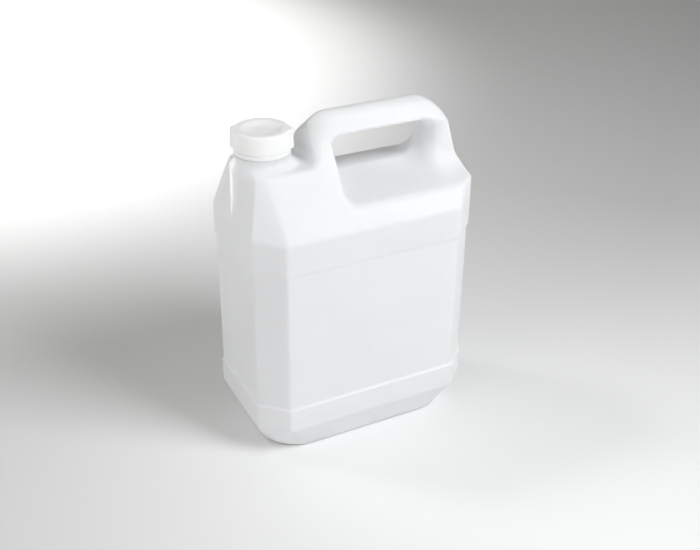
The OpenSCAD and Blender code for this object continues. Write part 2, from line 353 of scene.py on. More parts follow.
def quad_edges(quads):
    """Edges of quads, each in the direction in which its quad runs."""
    return np.concatenate([quads[:, [i, (i + 1) % 4]] for i in range(4)])


def relax(field, points, quads, held, held_z):
    """Evens out a net: each point moves half way to the mean of its neighbours along the surface, then settles."""
    edge = quad_edges(quads)
    edge = np.concatenate([edge, edge[:, ::-1]])
    here, there = edge[:, 0], edge[:, 1]
    total = len(points)
    number = np.maximum(np.bincount(here, minlength=total), 1)[:, None]
    for _ in range(RELAX_ROUNDS):
        mean = np.stack([np.bincount(here, points[there, k], total) for k in range(3)], 1) / number
        slope = slope_of(field, points)
        slope /= np.maximum(np.linalg.norm(slope, axis=1), 1e-6)[:, None]
        move = mean - points
        move -= (move * slope).sum(1)[:, None] * slope
        points = points + 0.5 * move
        points[held, 2] = held_z[held]
        points = settle(field, points)
        points[held, 2] = held_z[held]
    return points


def open_loop(quads, chosen):
    """Chosen points on the open border of a net, in the order of its border edges, which only one quad has."""
    edge = quad_edges(quads)
    edge = edge[chosen[edge].all(1)]
    total = len(chosen)
    there = edge[:, 0] * total + edge[:, 1]
    back = edge[:, 1] * total + edge[:, 0]
    border = edge[~np.isin(there, back)]
    after = dict(border.tolist())
    loop = [int(border[0, 0])]
    for _ in range(len(border) - 1):
        loop.append(after[loop[-1]])
    return np.array(loop)


def zipper(points, one, two, centre):
    """Triangles between two rings round an upright axis: the edges of both rings are taken in the order of their
    middle angles, and each is joined to the point of the other ring that has been reached."""

    def wrapped(stride):
        return (stride + math.pi) % TURN - math.pi

    def turned(ring):
        angle = np.arctan2(points[ring, 1] - centre[1], points[ring, 0] - centre[0])
        if wrapped(np.roll(angle, -1) - angle).sum() < 0.0:
            ring, angle = ring[::-1], angle[::-1]
        first = np.argmin(angle)
        ring, angle = np.roll(ring, -first), np.roll(angle, -first)
        angle = angle[0] + np.append(0.0, np.cumsum(wrapped(np.diff(angle))))
        return ring, np.minimum(np.maximum.accumulate(angle), angle[0] + TURN)

    def middles(angle):
        return (angle + np.append(angle[1:], angle[0] + TURN)) / 2.0

    one, one_angle = turned(one)
    two, two_angle = turned(two)
    one_mid, two_mid = middles(one_angle), middles(two_angle)
    to_two = np.searchsorted(two_mid, one_mid) % len(two)
    to_one = np.searchsorted(one_mid, two_mid, side="right") % len(one)
    lower = np.stack([one, np.roll(one, -1), two[to_two]], 1)
    upper = np.stack([np.roll(two, -1), two, one[to_one]], 1)
    return np.concatenate([lower, upper])


def grid_quads(rows, columns, start=0):
    """Quads of a grid of rows by columns whose columns close on themselves."""
    i, j = np.meshgrid(np.arange(rows - 1), np.arange(columns), indexing="ij")
    k = (j + 1) % columns
    low, high = i * columns, (i + 1) * columns
    return start + np.stack([low + j, low + k, high + k, high + j], -1).reshape(-1, 4)


def rounded_path(corners, steps):
    """Path through corners (x, y, radius) with an arc of that radius at each inner corner."""
    path = [np.array([corners[0][:2]])]
    for a, b, c in zip(corners[:-2], corners[1:-1], corners[2:]):
        here, radius = np.array(b[:2]), b[2]
        u = np.array(a[:2]) - here
        v = np.array(c[:2]) - here
        u, v = u / np.linalg.norm(u), v / np.linalg.norm(v)
        half = math.acos(np.clip(u @ v, -1.0, 1.0)) / 2.0
        if radius <= 0.0 or half > STRAIGHT:
            path.append(here[None])
            continue
        middle = here + (u + v) / np.linalg.norm(u + v) * radius / math.sin(half)
        start = here + u * radius / math.tan(half) - middle
        stop = here + v * radius / math.tan(half) - middle
        turn = math.atan2(start[0] * stop[1] - start[1] * stop[0], start @ stop)
        angle = turn * np.linspace(0.0, 1.0, steps + 1)[:, None]
        cross = np.array([-start[1], start[0]])
        path.append(middle + np.cos(angle) * start + np.sin(angle) * cross)
    path.append(np.array([corners[-1][:2]]))
    return np.concatenate(path)


def filled(path, step):
    """Path with points added so that no stretch of it is longer than step."""
    run = np.append(0.0, np.cumsum(np.linalg.norm(np.diff(path, axis=0), axis=1)))
    parts = []
    for a, b in zip(run[:-1], run[1:]):
        parts.append(np.linspace(a, b, max(2, int(math.ceil((b - a) / step)) + 1))[:-1])
    at = np.append(np.concatenate(parts), run[-1])
    return np.stack([np.interp(at, run, path[:, k]) for k in range(2)], 1)


def make_piece(name, points, faces, material):
    """Object with a mesh of points and of faces, a list of arrays with one row per face."""
    mesh = bpy.data.meshes.new(name)
    sizes = np.concatenate([np.full(len(f), f.shape[1]) for f in faces])
    loops = np.concatenate([f.ravel() for f in faces])
    mesh.vertices.add(len(points))
    mesh.vertices.foreach_set("co", np.asarray(points, np.float32).ravel())
    mesh.loops.add(len(loops))
    mesh.loops.foreach_set("vertex_index", loops.astype(np.int32))
    mesh.polygons.add(len(sizes))
    mesh.polygons.foreach_set("loop_start", np.append(0, np.cumsum(sizes)[:-1]).astype(np.int32))
    mesh.update(calc_edges=True)
    if mesh.validate():
        raise RuntimeError(f"{name}: the mesh had faces that had to be dropped")
    mesh.shade_smooth()
    mesh.set_sharp_from_angle(angle=SHARP_ANGLE)
    mesh.materials.append(material)
    piece = bpy.data.objects.new(name, mesh)
    bpy.context.scene.collection.objects.link(piece)
    return piece


def turned_rows(profile, columns):
    """Angles, radii and heights of a turned surface: a profile of (radius, height) carried round in columns steps."""
    angle = TURN * np.arange(columns) / columns
    radius = np.broadcast_to(profile[:, :1], (len(profile), columns))
    height = np.broadcast_to(profile[:, 1:], (len(profile), columns))
    return angle, radius.copy(), height.copy()


def round_points(angle, radius, height):
    """Rows of points about the neck's axis, from their angles, radii and heights."""
    return np.stack([NECK_X + radius * np.cos(angle), radius * np.sin(angle), height], -1)


def thread_ridge(angle, height, start, pitch, width, span, fade):
    """Ridge of a right-handed thread, from 0 to 1: how close height comes to start + pitch (angle / turn + n). It
    fades out at both ends of its span of heights."""
    turns = (height - start) / pitch - angle / TURN
    away = np.abs(turns - np.round(turns)) * pitch
    ridge = 1.0 - ease(0.3 * width, 0.7 * width, away)
    low, high = span
    return ridge * ease(low, low + fade, height) * (1.0 - ease(high - fade, high, height))


def wall_profile(sizes, inset, mesh):
    """Profile of the walls below JOIN_Z, from the top down, moved in by inset: how far each ring is drawn in, its
    height, and below the band the share of FOOT_INSET that it is drawn in."""
    depth = sizes.panel_depth
    rim = FOOT_INSET + FOOT_RIM
    panel_r, ledge_r, ledge_cut = 0.0016, 0.0008, 0.0003
    foot_r, rim_r, rim_inside_r, push_r = 0.012, 0.006, 0.0015, 0.002
    corners = [
        (0.0, JOIN_Z - 0.002, 0.0),
        (0.0, PANEL_HIGH, panel_r),
        (depth, PANEL_HIGH - PANEL_RAMP, panel_r),
        (depth, PANEL_LOW + PANEL_RAMP - ledge_cut, ledge_r),
        (0.0, PANEL_LOW + ledge_cut, ledge_r),
        (0.0, FOOT_H, foot_r),
        (FOOT_INSET, 0.0, rim_r),
        (rim, 0.0, rim_inside_r),
        (rim + PUSH_UP, PUSH_UP, push_r),
        (rim + PUSH_UP + 0.008, PUSH_UP, 0.0),
    ]
    path = filled(rounded_path(corners, mesh["bend"]), mesh["stretch"])
    share = np.where(path[:, 1] < PANEL_LOW, np.clip(path[:, 0] / FOOT_INSET, 0.0, 1.0), 0.0)
    along = np.gradient(path, axis=0)
    along /= np.linalg.norm(along, axis=1)[:, None]
    path = path + inset * np.stack([-along[:, 1], along[:, 0]], 1)
    return path[:, 0], path[:, 1], share


def octagon(sizes, inset, mesh, drawn, z):
    """Rings of the eight walls, drawn in: upright edges rounded by arcs, and walls that swell by a square law."""
    tilt = math.atan2(CORNER_L, CORNER_D)
    face = np.array([0.0, tilt, math.pi / 2, math.pi - tilt])
    face = np.append(face, face + math.pi)
    away = np.tile([HALF_L, FACET_AWAY, HALF_D, FACET_AWAY], 2)
    corner_r = sizes.edge_radius - inset
    middle_z = (PANEL_LOW + PANEL_HIGH) / 2
    reach_z = (PANEL_HIGH - PANEL_LOW) / 2 - PANEL_RAMP
    swell = np.clip(1.0 - ((z - middle_z) / reach_z) ** 2, 0.0, 1.0)

    def arc(i):
        a, b = face[i % 8], face[i % 8] + (face[(i + 1) % 8] - face[i % 8]) % TURN
        near = away[i % 8] - drawn - corner_r
        far = away[(i + 1) % 8] - drawn - corner_r
        x = (near * math.sin(b) - far * math.sin(a)) / math.sin(b - a)
        y = (far * math.cos(a) - near * math.cos(b)) / math.sin(b - a)
        turn = np.linspace(a, b, mesh["edge"] + 1)
        return np.stack([x[:, None] + corner_r * np.cos(turn), y[:, None] + corner_r * np.sin(turn)], -1)

    columns = []
    for i in range(8):
        before, after = arc(i - 1), arc(i)
        share = np.linspace(0.0, 1.0, mesh["along"][i % 4] + 2)[1:-1]
        side = before[:, -1:] + share[:, None] * (after[:, :1] - before[:, -1:])
        lift = SWELL_SHARE[i % 4] * sizes.panel_swell
        out = lift * swell[:, None] * (1.0 - (2.0 * share - 1.0) ** 2)
        columns += [side + out[..., None] * np.array([math.cos(face[i]), math.sin(face[i])]), after]
    return np.concatenate(columns, 1)


def round_rectangle(mesh, drawn):
    """Rings of the foot's rounded rectangle, drawn in, with as many points in each part as the octagon has."""
    along = mesh["along"]
    number = 2 * (mesh["edge"] + 1) + along[1]
    radius = FOOT_CORNER + FOOT_INSET - drawn
    middle = np.array([HALF_L, HALF_D]) - FOOT_CORNER - FOOT_INSET
    corner = []
    for i, signs in enumerate(((1, 1), (-1, 1), (-1, -1), (1, -1))):
        turn = (i + np.linspace(0.0, 1.0, number)) * math.pi / 2
        corner.append(middle * signs + radius[:, None, None] * np.stack([np.cos(turn), np.sin(turn)], -1))
    columns = []
    for i in range(4):
        before, after = corner[i - 1][:, -1:], corner[i][:, :1]
        share = np.linspace(0.0, 1.0, along[2 * i % 4] + 2)[1:-1, None]
        columns += [before + share * (after - before), corner[i]]
    return np.concatenate(columns, 1)


def can_rows(sizes, inset, mesh):
    """Rings of the walls below JOIN_Z, from the top down: the octagon, which goes over to the rounded rectangle by
    each ring's share."""
    drawn, z, share = wall_profile(sizes, inset, mesh)
    share = share[:, None, None]
    flat = (1.0 - share) * octagon(sizes, inset, mesh, drawn, z) + share * round_rectangle(mesh, drawn)
    return np.concatenate([flat, np.broadcast_to(z[:, None, None], (*flat.shape[:2], 1))], -1)


def skin(sizes, inset, mesh):
    """One side of the can's wall, drawn in by inset: the field's net above JOIN_Z, zipped to the rings below it,
    with the base closed by one flat face. Also gives the ring that is open round the neck."""

    def field(points):
        return can_field(points) + inset

    step = mesh["step"]
    pad = 2.5 * step
    low = np.array([-HALF_L - pad, -HALF_D - pad, JOIN_Z])
    high = np.array([HALF_L + pad, HALF_D + pad, RIDGE_Z + pad])
    axes = [a + step * np.arange(int(math.ceil((b - a) / step)) + 1) for a, b in zip(low, high)]
    values = field(np.stack(np.meshgrid(*axes, indexing="ij"), -1))
    points, quads, cell = surface_net(values, low, step)
    cut = int((NECK_CUT - JOIN_Z) / step)
    near = np.hypot(points[:, 0] - NECK_X, points[:, 1]) < ROOT_R + 0.005
    gone = near & (cell[:, 2] >= cut)
    quads = quads[~gone[quads].any(1)]
    used = np.zeros(len(points), bool)
    used[quads] = True
    fresh = np.cumsum(used) - 1
    points, quads, cell, near = points[used], fresh[quads], cell[used], near[used]
    base = open_loop(quads, cell[:, 2] == 0)
    neck = open_loop(quads, near & (cell[:, 2] == cut - 1))
    held = np.zeros(len(points), bool)
    held[base] = held[neck] = True
    held_z = np.where(cell[:, 2] == 0, JOIN_Z + step / 2, NECK_CUT - step / 2)
    points = settle(field, settle(field, points))
    points = relax(field, points, quads, held, held_z)
    rings = can_rows(sizes, inset, mesh)
    rows, columns = rings.shape[:2]
    start = len(points)
    points = np.concatenate([points, rings.reshape(-1, 3)])
    top = start + np.arange(columns)
    floor = top + columns * (rows - 1)
    body = grid_quads(rows, columns, start)[:, ::-1]
    seam = zipper(points, top, base, (0.0, 0.0))
    return points, [quads, body, seam, floor[None, ::-1]], neck


def neck_rows(sizes):
    """Rows of the neck from the collar's foot outside, over the rim, to the collar's foot inside. The thread adds its
    ridge to the radius between the tamper ring and the rim."""
    edge, root_r = 0.0009, 0.0004
    bead = NECK_R + 0.0011
    wall = sizes.wall
    corners = [
        (COLLAR_R, NECK_FOOT, 0.0),
        (COLLAR_R, LEDGE_Z, edge),
        (NECK_R, LEDGE_Z, root_r),
        (NECK_R, BEAD_Z - 0.0022, root_r),
        (bead, BEAD_Z - 0.0011, 0.0003),
        (bead, BEAD_Z - 0.0007, 0.0002),
        (NECK_R, BEAD_Z, 0.0003),
        (NECK_R, RIM_Z, edge),
        (BORE_R, RIM_Z, edge * 0.8),
        (BORE_R, LEDGE_Z - wall, 0.0008),
        (COLLAR_R - wall, LEDGE_Z - wall - NECK_WALL, 0.0015),
        (COLLAR_R - wall, NECK_FOOT, 0.0),
    ]
    profile = filled(rounded_path(corners, 4), 0.00045)
    angle, radius, height = turned_rows(profile, 144)
    outside = np.cumsum(profile[:, 1] >= RIM_Z - 1e-6) == 0
    span = (THREAD_Z, RIM_Z - 0.0008)
    ridge = thread_ridge(angle, height, THREAD_Z, sizes.thread_pitch, 0.0020, span, 0.0006)
    radius += np.where(outside[:, None], sizes.thread_height * ridge, 0.0)
    return round_points(angle, radius, height)


def parting_fin():
    """Rows of the fin along the neck end's middle, from the shoulder to the collar: a thin web with a round edge,
    whose root lies inside the wall. At each height the skin's place is found by bisection."""
    z = np.linspace(SHOULDER_Z + 0.0035, LEDGE_Z - 0.0012, 60)
    skin_x = np.full_like(z, -HALF_L - 0.004)
    deep = np.full_like(z, NECK_X)
    for _ in range(40):
        middle = (skin_x + deep) / 2
        inside = can_field(np.stack([middle, np.zeros_like(z), z], -1)) < 0.0
        deep = np.where(inside, middle, deep)
        skin_x = np.where(inside, skin_x, middle)
    share = np.linspace(0.0, 1.0, len(z))
    size = ease(0.0, 0.14, share) * (1.0 - 0.85 * ease(0.93, 1.0, share))
    rise = size * np.maximum(skin_x - (FIN_LEAN * share - HALF_L), FIN_LEAST)
    turn = np.linspace(-math.pi / 2, math.pi / 2, 9)
    root = (skin_x + FIN_ROOT)[:, None]
    edge = (skin_x - rise + FIN_HALF)[:, None] - FIN_HALF * np.cos(turn)
    x = np.minimum(np.concatenate([root, edge, root], 1), root)
    y = FIN_HALF * np.concatenate([[-1.0], np.sin(turn), [1.0]])
    return np.stack([x, np.broadcast_to(y, x.shape), np.broadcast_to(z[:, None], x.shape)], -1)


def cap_rows(sizes):
    """Rows of the cap from the middle of its underside, down inside, up outside and over the dish to the middle. Two
    opposite lugs add to the outside's radius, and the thread takes from the inside's."""
    edge = 0.0016
    top = CAP_R - 0.0006
    dish = 0.0165
    skirt = SKIRT_Z - 0.0003
    corners = [
        (AXIS_R, SEAT_Z, 0.0),
        (SKIRT_R, SEAT_Z, 0.0005),
        (SKIRT_R, skirt, 0.0004),
        (CAP_R, skirt, 0.0003),
        (top, CAP_Z, edge),
        (dish, CAP_Z, 0.003),
        (dish - 0.0075, CAP_Z - DISH_H, 0.014),
        (AXIS_R, CAP_Z - DISH_H, 0.0),
    ]
    profile = filled(rounded_path(corners, 5), 0.0005)
    angle, radius, height = turned_rows(profile, 240)
    lip = np.argmin(np.abs(profile[:, 0] - CAP_R) + np.abs(profile[:, 1] - SKIRT_Z - 0.001))
    outside = (np.arange(len(profile)) >= lip - 4)[:, None]
    away = np.abs((angle - math.radians(sizes.lug_turn) + math.pi / 2) % math.pi - math.pi / 2)
    half = sizes.lug_width / 2 / CAP_R
    lug = 1.0 - ease(0.45 * half, 1.05 * half, away)
    reach = ease(dish + 0.0006, top - edge, radius)
    radius += np.where(outside, sizes.lug_height * lug * reach, 0.0)
    start = THREAD_Z + sizes.thread_pitch / 2
    span = (SKIRT_Z + 0.001, SEAT_Z - 0.0012)
    ridge = thread_ridge(angle, height, start, sizes.thread_pitch, 0.0018, span, 0.0008)
    inside = (radius > SKIRT_R - 0.0003) & ~outside
    radius -= np.where(inside, (SKIRT_R - LIP_R - 0.0001) * ridge, 0.0)
    return round_points(angle, radius, height)


def band_rows():
    """Rows of the tamper ring, whose profile is a closed loop: its wall, and at its foot a lip under the bead."""
    lip, edge = 0.0012, 0.0003
    corners = [
        (CAP_R, LEDGE_Z + lip, 0.0),
        (CAP_R, RING_TOP, edge),
        (SKIRT_R, RING_TOP, edge),
        (SKIRT_R, LEDGE_Z + 1.5 * lip, edge),
        (LIP_R, LEDGE_Z + lip, edge),
        (LIP_R, LEDGE_Z, edge),
        (CAP_R, LEDGE_Z, 0.0006),
        (CAP_R, LEDGE_Z + lip, 0.0),
    ]
    return round_points(*turned_rows(rounded_path(corners, 4)[:-1], 160))


def wad_rows():
    """Rows of the sealing wad from the middle of its underside, round its edge, to the middle of its top."""
    edge = 0.0003
    corners = [(AXIS_R, RIM_Z, 0.0), (WAD_R, RIM_Z, edge), (WAD_R, SEAT_Z, edge), (AXIS_R, SEAT_Z, 0.0)]
    return round_points(*turned_rows(filled(rounded_path(corners, 3), 0.003), 96))


def looped(rows):
    """Points and faces of rows whose last ring joins the first."""
    count, columns = rows.shape[:2]
    return rows.reshape(-1, 3), [grid_quads(count + 1, columns) % (count * columns)]


def lidded(rows):
    """Points and faces of rows whose first and last rings are closed by one flat face each."""
    count, columns = rows.shape[:2]
    first = np.arange(columns)
    last = (count - 1) * columns + first
    return rows.reshape(-1, 3), [grid_quads(count, columns), first[None, ::-1], last[None]]


# Finishes


def add_node(tree, kind, place, **values):
    """Node of a kind at a place, with its inputs or its own settings given by name."""
    node = tree.nodes.new(kind)
    node.location = place
    for key, value in values.items():
        socket = node.inputs.get(key.replace("_", " ").title()) if not hasattr(node, key) else None
        if socket is not None:
            socket.default_value = value
        else:
            setattr(node, key, value)
    return node


def ranged(tree, source, place, low, high, to_low, to_high):
    """Map Range node from low..high to to_low..to_high, fed by source."""
    node = add_node(tree, "ShaderNodeMapRange", place)
    for socket, value in zip(list(node.inputs)[1:5], (low, high, to_low, to_high)):
        socket.default_value = value
    tree.links.new(source, node.inputs[0])
    return node.outputs[0]


def worked_out(tree, operation, place, *sources):
    """Math node of an operation, fed by its sources."""
    node = add_node(tree, "ShaderNodeMath", place, operation=operation)
    for source, socket in zip(sources, node.inputs):
        tree.links.new(source, socket)
    return node.outputs[0]


def mixed(tree, factor, place, first, second):
    """Mix node from the first colour to the second, by a factor."""
    node = add_node(tree, "ShaderNodeMix", place, data_type="RGBA")
    node.inputs["A"].default_value = (*first, 1.0)
    node.inputs["B"].default_value = (*second, 1.0)
    tree.links.new(factor, node.inputs["Factor"])
    return node.outputs["Result"]


def new_material(name, **inputs):
    """Material with its node tree and its shader, whose inputs are given by name."""
    material = bpy.data.materials.new(name)
    material.use_nodes = True
    shader = material.node_tree.nodes["Principled BSDF"]
    for key, value in inputs.items():
        shader.inputs[key.replace("_", " ")].default_value = value
    return material, material.node_tree, shader


def moulded_group():
    """Node group of a moulded plastic skin, built once: cloudy wall thickness, a fine grain and rubbed patches."""
    group = bpy.data.node_groups.get("moulded_skin")
    if group:
        return group
    group = bpy.data.node_groups.new("moulded_skin", "ShaderNodeTree")
    sockets = group.interface
    sockets.new_socket("Place", in_out="INPUT", socket_type="NodeSocketVector")
    for name, value in (("Cloud Scale", 18.0), ("Grain Scale", 900.0), ("Rub Scale", 60.0)):
        socket = sockets.new_socket(name, in_out="INPUT", socket_type="NodeSocketFloat")
        socket.default_value = value
    for name in ("Cloud", "Grain", "Rub"):
        sockets.new_socket(name, in_out="OUTPUT", socket_type="NodeSocketFloat")
    entry = add_node(group, "NodeGroupInput", (-500, 0))
    leave = add_node(group, "NodeGroupOutput", (400, 0))
    noises = (("Cloud", 3.0, 0.5), ("Grain", 2.0, 0.6), ("Rub", 5.0, 0.65))
    for row, (name, detail, rough) in enumerate(noises):
        place = (-200, 200 - 220 * row)
        noise = add_node(group, "ShaderNodeTexNoise", place, detail=detail, roughness=rough)
        group.links.new(entry.outputs["Place"], noise.inputs["Vector"])
        group.links.new(entry.outputs[f"{name} Scale"], noise.inputs["Scale"])
        group.links.new(noise.outputs["Fac"], leave.inputs[name])
    return group


def plastic(name, colour, dull, rough, scatter, reach, bump, seam=0.0):
    """Moulded plastic: colour goes to dull where the wall clouds over, the grain and the parting line are bumps."""
    material, tree, shader = new_material(
        name,
        IOR=1.5,
        Subsurface_Weight=scatter,
        Subsurface_Radius=(1.0, 0.95, 0.9),
        Subsurface_Scale=reach,
    )
    shader.subsurface_method = "BURLEY"
    place = add_node(tree, "ShaderNodeTexCoord", (-1100, 0)).outputs["Object"]
    skin_node = add_node(tree, "ShaderNodeGroup", (-850, 0), node_tree=moulded_group())
    tree.links.new(place, skin_node.inputs["Place"])
    cloud = ranged(tree, skin_node.outputs["Cloud"], (-600, 200), 0.35, 0.65, 0.0, 1.0)
    tree.links.new(mixed(tree, cloud, (-350, 250), colour, dull), shader.inputs["Base Color"])
    gloss = ranged(tree, skin_node.outputs["Rub"], (-600, -50), 0.3, 0.75, rough - 0.05, rough + 0.09)
    tree.links.new(gloss, shader.inputs["Roughness"])
    height = skin_node.outputs["Grain"]
    if seam:
        split = add_node(tree, "ShaderNodeSeparateXYZ", (-850, -350))
        tree.links.new(place, split.inputs[0])
        away = worked_out(tree, "ABSOLUTE", (-650, -350), split.outputs["Y"])
        line = ranged(tree, away, (-450, -350), 0.0, 0.0006, seam, 0.0)
        height = worked_out(tree, "ADD", (-250, -250), height, line)
    relief = add_node(tree, "ShaderNodeBump", (-100, -200), strength=bump, distance=0.0002)
    tree.links.new(height, relief.inputs["Height"])
    tree.links.new(relief.outputs["Normal"], shader.inputs["Normal"])
    return material


def floor_material(stage):
    """Floor: pale near by; farther off, round a point of the floor, its colour runs from pale to a painted shade that
    stands in for the lamps' light falling off there.
    """
    material, tree, shader = new_material("studio_floor", Roughness=0.9, Specular_IOR_Level=0.1)
    place = add_node(tree, "ShaderNodeTexCoord", (-1200, 0)).outputs["Object"]
    moved = add_node(tree, "ShaderNodeMapping", (-1000, 0))
    moved.inputs["Location"].default_value = (0.37, 0.71, 0.0)
    tree.links.new(place, moved.inputs["Vector"])
    round_about = add_node(tree, "ShaderNodeTexGradient", (-800, 100), gradient_type="RADIAL")
    tree.links.new(moved.outputs["Vector"], round_about.inputs["Vector"])
    shade = ranged(tree, round_about.outputs["Fac"], (-600, 100), 0.622, 0.69, 1.0, 0.0)
    length = add_node(tree, "ShaderNodeVectorMath", (-800, -150), operation="LENGTH")
    tree.links.new(moved.outputs["Vector"], length.inputs[0])
    far = ranged(tree, length.outputs["Value"], (-600, -150), 0.65, 1.3, 0.0, 1.0)
    # Painted shade: share of the darker colour, by angle round the point and by distance, standing in for light that
    # falls off on the far floor
    painted_shade_amount = worked_out(tree, "MULTIPLY", (-400, 0), shade, far)
    colour = mixed(tree, painted_shade_amount, (-200, 0), stage.floor_colour, stage.floor_painted_shade)
    tree.links.new(colour, shader.inputs["Base Color"])
    return material


# Properties


class JERRYCAN_PG_sizes(bpy.types.PropertyGroup):
    """Sizes of the moulding and of the closure."""

    wall: bpy.props.FloatProperty(
        name="Wall", description="Thickness of the can's wall", default=0.0012, min=0.0008, unit="LENGTH"
    )
    panel_depth: bpy.props.FloatProperty(
        name="Panel depth", description="Depth of the sunk panel", default=0.0013, min=0.0, unit="LENGTH"
    )
    panel_swell: bpy.props.FloatProperty(
        name="Panel swell", description="How far a long wall swells in its middle", default=0.0012, unit="LENGTH"
    )
    edge_radius: bpy.props.FloatProperty(
        name="Edge radius", description="Radius of the upright edges", default=0.0045, min=0.002, unit="LENGTH"
    )
    thread_pitch: bpy.props.FloatProperty(
        name="Thread pitch", description="Rise of the thread in one turn", default=0.005, min=0.003, unit="LENGTH"
    )
    thread_height: bpy.props.FloatProperty(
        name="Thread height", description="Height of the thread on the neck", default=0.0010, unit="LENGTH"
    )
    lug_height: bpy.props.FloatProperty(
        name="Lug height", description="How far a grip lug stands out of the cap", default=0.0023, unit="LENGTH"
    )
    lug_width: bpy.props.FloatProperty(
        name="Lug width", description="Width of a grip lug at its root", default=0.0120, unit="LENGTH"
    )
    lug_turn: bpy.props.FloatProperty(
        name="Lug turn", description="Angle of the first grip lug in degrees", default=-28.0
    )


class JERRYCAN_PG_finish(bpy.types.PropertyGroup):
    """Colours of the plastics."""

    can_colour: bpy.props.FloatVectorProperty(
        name="Can", description="Colour of the can's plastic", default=(0.825, 0.83, 0.845), subtype="COLOR"
    )
    can_dull: bpy.props.FloatVectorProperty(
        name="Can, thick",
        description="Colour where the can's wall is thick",
        default=(0.81, 0.815, 0.828),
        subtype="COLOR",
    )
    cap_colour: bpy.props.FloatVectorProperty(
        name="Cap", description="Colour of the cap's plastic", default=(0.97, 0.97, 0.965), subtype="COLOR"
    )
    cap_dull: bpy.props.FloatVectorProperty(
        name="Cap, worn", description="Colour where the cap is worn", default=(0.955, 0.955, 0.945), subtype="COLOR"
    )
    wad_colour: bpy.props.FloatVectorProperty(
        name="Wad", description="Colour of the sealing wad", default=(0.78, 0.78, 0.75), subtype="COLOR"
    )


class JERRYCAN_PG_stage(bpy.types.PropertyGroup):
    """Camera, lamps and floor."""

    lens: bpy.props.FloatProperty(
        name="Lens",
        description="Focal length of the camera in millimetres",
        default=53.95,
        subtype="DISTANCE_CAMERA",
    )
    floor_colour: bpy.props.FloatVectorProperty(
        name="Floor", description="Colour of the floor", default=(0.95, 0.95, 0.945), subtype="COLOR"
    )
    # Painted shade: the floor's darker colour on its far side stands in for light falling off there, not for a colour
    # of the floor itself
    floor_painted_shade: bpy.props.FloatVectorProperty(
        name="Floor, shaded",
        description="Colour of the floor on its shaded side",
        default=(0.66, 0.655, 0.655),
        subtype="COLOR",
    )
    key_power: bpy.props.FloatProperty(
        name="Key lamp", description="Power of the main soft lamp", default=14.9, unit="POWER"
    )
    fill_power: bpy.props.FloatProperty(
        name="Fill lamp", description="Power of the low lamp beside the neck end", default=0.64, unit="POWER"
    )
    rim_power: bpy.props.FloatProperty(
        name="Rim lamp", description="Power of the spot on the can's top from behind", default=33.0, unit="POWER"
    )
    glow_power: bpy.props.FloatProperty(
        name="Floor lamp", description="Power of the spot on the floor behind the can", default=60.0, unit="POWER"
    )
    sky: bpy.props.FloatProperty(
        name="Sky", description="Strength of the even light from all sides", default=0.29
    )


# Operators


def axes_at(side, up, back, place):
    """Matrix of a camera or a lamp from its three axes and its place."""
    rows = [[side[k], up[k], back[k], place[k]] for k in range(3)]
    return Matrix([*rows, [0.0, 0.0, 0.0, 1.0]])


def add_lamp(name, kind, place, aim, **settings):
    """Lamp of a kind at a place, turned to its aim, with its settings given by name."""
    light = bpy.data.lights.new(name, kind)
    for key, value in settings.items():
        setattr(light, key, value)
    lamp = bpy.data.objects.new(name, light)
    back = (np.array(place) - aim) / np.linalg.norm(np.array(place) - aim)
    side = np.cross((0.0, 0.0, 1.0), back)
    side /= np.linalg.norm(side)
    lamp.matrix_world = axes_at(side, np.cross(back, side), back, place)
    bpy.context.scene.collection.objects.link(lamp)


class JERRYCAN_OT_stage(bpy.types.Operator):
    """Makes the camera, the lamps and the pale floor"""

    bl_idname = "jerrycan.stage"
    bl_label = "Stage"

    def execute(self, context):
        scene = context.scene
        stage = scene.jerrycan_stage
        lens = bpy.data.cameras.new("camera")
        lens.lens = stage.lens
        lens.sensor_width = 36.0
        camera = bpy.data.objects.new("camera", lens)
        right = (0.887303, -0.461073, 0.010249)
        up = (0.218139, 0.439166, 0.871521)
        back = (-0.406336, -0.771067, 0.490252)
        camera.matrix_world = axes_at(right, up, back, (-0.366168, -0.709195, 0.580467))
        scene.collection.objects.link(camera)
        scene.camera = camera
        key = {"size": 0.65, "color": (0.965, 0.98, 1.0), "energy": stage.key_power}
        add_lamp("key", "AREA", (0.631, -0.919, 1.12), (0.0, 0.0, 0.12), **key)
        fill = {"shape": "RECTANGLE", "size": 0.9, "size_y": 0.3, "spread": math.radians(65.0)}
        add_lamp("fill", "AREA", (-1.0, -0.32, 0.38), (-0.1, 0.0, 0.27), energy=stage.fill_power, **fill)
        glow = {"spot_size": math.radians(76.0), "spot_blend": 0.5, "shadow_soft_size": 0.1}
        add_lamp("glow", "SPOT", (-0.15, 1.25, 1.2), (-0.15, 1.2, 0.0), energy=stage.glow_power, **glow)
        rim = {"spot_size": math.radians(17.0), "spot_blend": 1.0, "shadow_soft_size": 0.25}
        add_lamp("rim", "SPOT", (-0.75, 0.75, 1.45), (-0.04, -0.01, 0.26), energy=stage.rim_power, **rim)
        world = bpy.data.worlds.new("studio")
        world.use_nodes = True
        sky = world.node_tree.nodes["Background"]
        sky.inputs["Color"].default_value = (1.0, 0.995, 0.97, 1.0)
        sky.inputs["Strength"].default_value = stage.sky
        scene.world = world
        scene.view_settings.view_transform = "Standard"
        mesh = bpy.data.meshes.new("studio_floor")
        side = 6.0
        corners = [(-side, -side, 0.0), (side, -side, 0.0), (side, side, 0.0), (-side, side, 0.0)]
        mesh.from_pydata(corners, [], [(0, 1, 2, 3)])
        mesh.materials.append(floor_material(stage))
        floor = bpy.data.objects.new("studio_floor", mesh)
        scene.collection.objects.link(floor)
        return {"FINISHED"}


